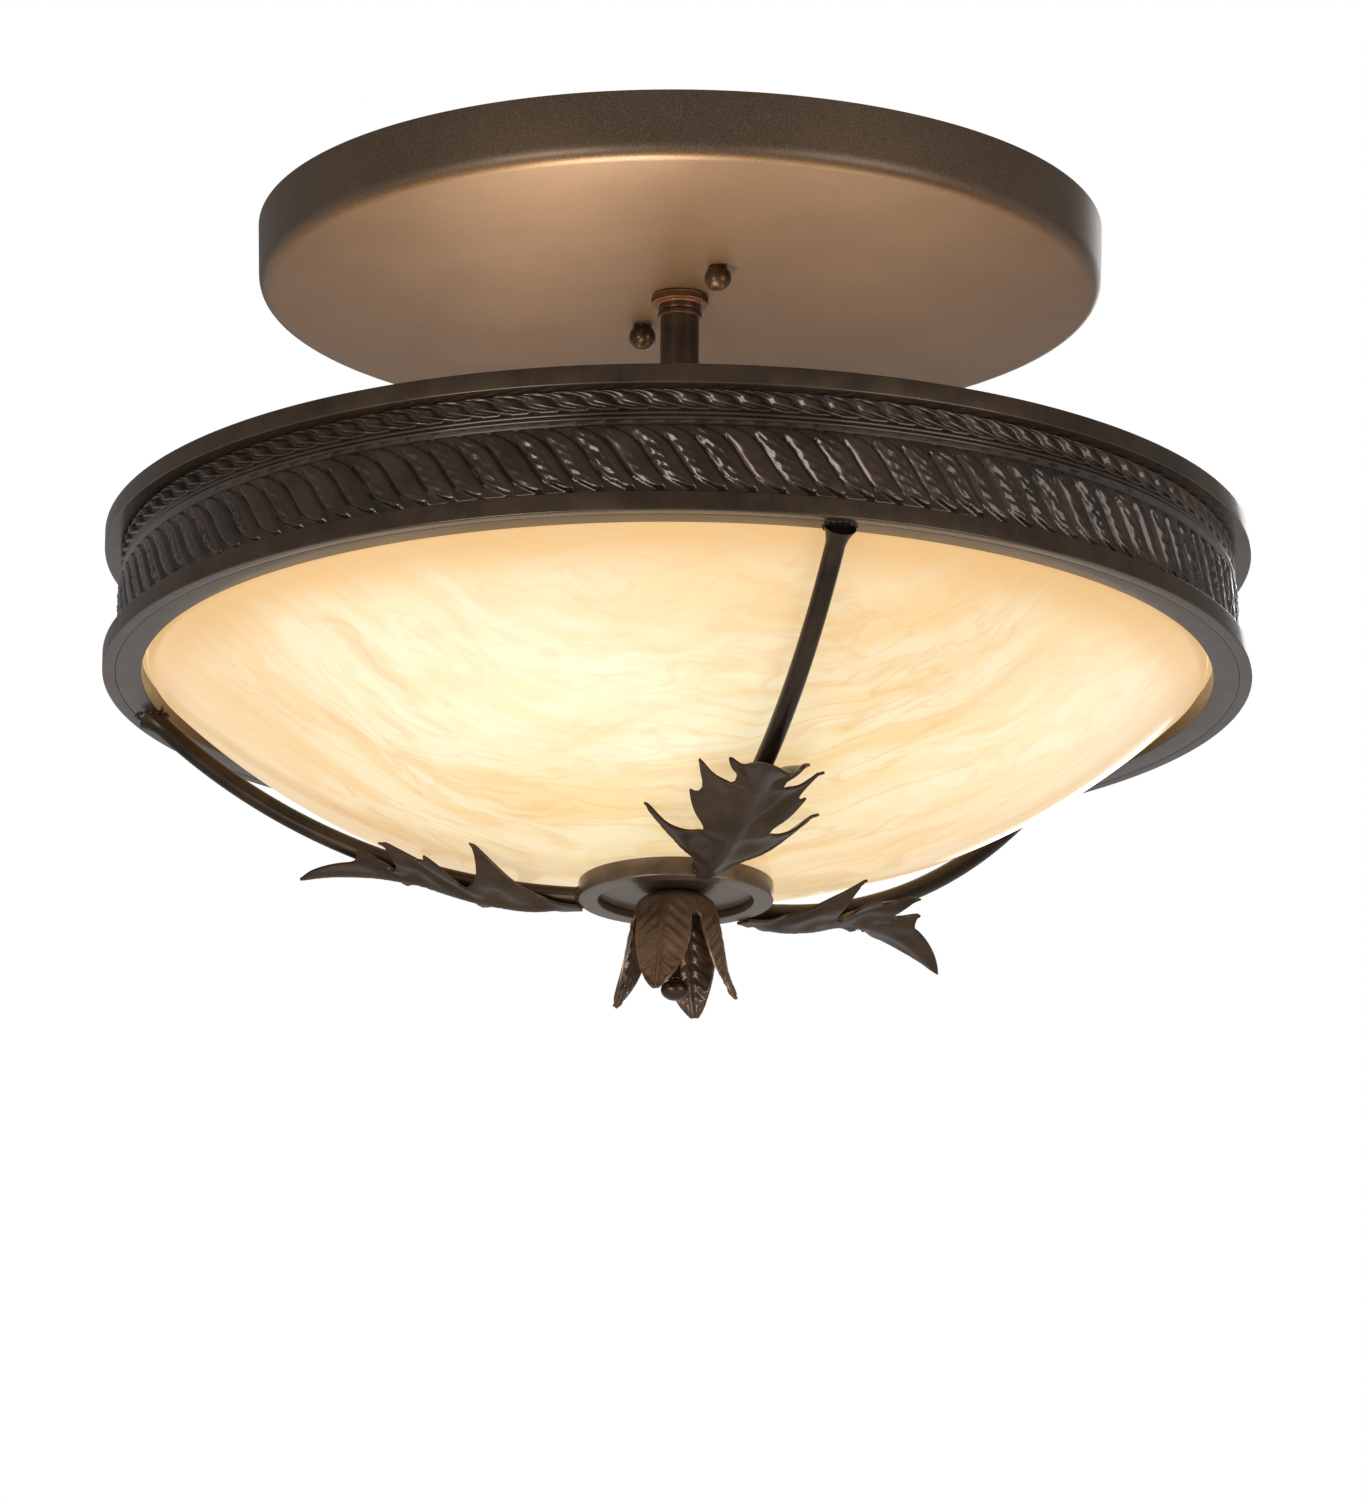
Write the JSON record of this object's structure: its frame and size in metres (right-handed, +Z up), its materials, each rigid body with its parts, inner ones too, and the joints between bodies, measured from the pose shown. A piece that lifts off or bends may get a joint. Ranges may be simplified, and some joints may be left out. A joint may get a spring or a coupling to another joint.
{
  "type": "three-light flush mount",
  "caption": "Round flush ceiling light: a pan canopy and short stem hold lamps over a shallow marbled glass bowl in an ornamented metal ring with leafed arms and a leaf finial.",
  "frame": {"origin": "middle of the ceiling-box screw pattern, in the plane of the ceiling", "axes": "+Z up out of the light into the ceiling, along its axis; -Y towards the front, where the first arm is 16.3 degrees to the right"},
  "size_m": [0.5588, 0.5588, 0.3933],
  "materials": {
    "bronze": "dark oil-rubbed bronze, satin",
    "canopy_bronze": "bronze powder coat, satin",
    "copper_bronze": "dark bronze with bright copper edges",
    "leaf_bronze": "brown bronze, hand rubbed",
    "zinc_steel": "zinc plated",
    "green_screw": "green",
    "brass": "plain",
    "lamp_metal": "plain",
    "lamp_glass": "frosted",
    "socket_body": "phenolic, satin",
    "marbled_glass": "honey and cream swirls, satin",
    "soft_seal": "matte",
    "black_wire": "insulated",
    "white_wire": "insulated"
  },
  "bodies": {
    "ceiling_side": {"canopy_studs": "zinc_steel", "ceiling_bar": "zinc_steel", "centre_rod": "zinc_steel", "cluster_body": "bronze", "cluster_cap": "bronze", "contact_1": "brass", "contact_2": "brass", "contact_3": "brass", "ground_screw": "green_screw", "hanger_nipple": "zinc_steel", "lamp_leads": "white_wire", "live_wire": "black_wire", "neutral_wire": "white_wire", "nipple_nuts": "zinc_steel", "rod_nuts": "zinc_steel", "screw_shell_1": "brass", "screw_shell_2": "brass", "screw_shell_3": "brass", "socket_1": "socket_body", "socket_2": "socket_body", "socket_3": "socket_body", "socket_arm_1": "bronze", "socket_arm_2": "bronze", "socket_arm_3": "bronze", "stem_neck": "copper_bronze", "stem_tube": "bronze", "stud_bar": "zinc_steel", "stud_nuts": "zinc_steel"},
    "canopy": {"canopy_pan": "canopy_bronze"},
    "lock_ring": {"lock_ring": "copper_bronze"},
    "ball_nut_front": {"ball_nut_front": "bronze"},
    "ball_nut_back": {"ball_nut_back": "bronze"},
    "cage": {"lower_hoop": "bronze", "upper_hoop": "bronze", "embossed_band": "bronze", "bowl_rest_ring": "bronze", "arm_front": "bronze", "arm_left": "bronze", "arm_right": "bronze", "leaf_front": "bronze", "leaf_left": "bronze", "leaf_right": "bronze", "hub_ring": "bronze", "hub_disc": "bronze", "glass_bowl": "marbled_glass", "rim_gasket": "soft_seal", "bowl_gasket": "soft_seal"},
    "finial": {"leaf_cup": "leaf_bronze", "finial_insert": "zinc_steel", "finial_ball": "bronze"},
    "bulb_1": {"bulb_base_1": "lamp_metal", "bulb_glass_1": "lamp_glass"},
    "bulb_2": {"bulb_base_2": "lamp_metal", "bulb_glass_2": "lamp_glass"},
    "bulb_3": {"bulb_base_3": "lamp_metal", "bulb_glass_3": "lamp_glass"}
  },
  "joints": [
    {"name": "canopy_drop", "type": "slide", "parent": "ceiling_side", "child": "canopy", "axis": [0, 0, -1], "range_m": [0, 0.06]},
    {"name": "lock_ring_turn", "type": "hinge", "parent": "canopy", "child": "lock_ring", "pos_m": [0, 0, -0.035], "axis": [0, 0, 1], "continuous": true},
    {"name": "ball_nut_front_turn", "type": "hinge", "parent": "canopy", "child": "ball_nut_front", "pos_m": [0.01843, -0.04562, -0.039], "axis": [0, 0, 1], "continuous": true},
    {"name": "ball_nut_back_turn", "type": "hinge", "parent": "canopy", "child": "ball_nut_back", "pos_m": [-0.01843, 0.04562, -0.039], "axis": [0, 0, 1], "continuous": true},
    {"name": "cage_drop", "type": "slide", "parent": "ceiling_side", "child": "cage", "axis": [0, 0, -1], "range_m": [0, 0.12]},
    {"name": "finial_turn", "type": "hinge", "parent": "cage", "child": "finial", "pos_m": [0, 0, -0.345], "axis": [0, 0, 1], "continuous": true},
    {"name": "bulb_1_turn", "type": "hinge", "parent": "ceiling_side", "child": "bulb_1", "pos_m": [-0.01887, -0.05183, -0.1531], "axis": [-0.2695, -0.7405, -0.6157], "continuous": true},
    {"name": "bulb_2_turn", "type": "hinge", "parent": "ceiling_side", "child": "bulb_2", "pos_m": [0.05432, 0.00958, -0.1531], "axis": [0.776, 0.1368, -0.6157], "continuous": true},
    {"name": "bulb_3_turn", "type": "hinge", "parent": "ceiling_side", "child": "bulb_3", "pos_m": [-0.03546, 0.04226, -0.1531], "axis": [-0.5065, 0.6037, -0.6157], "continuous": true}
  ]
}
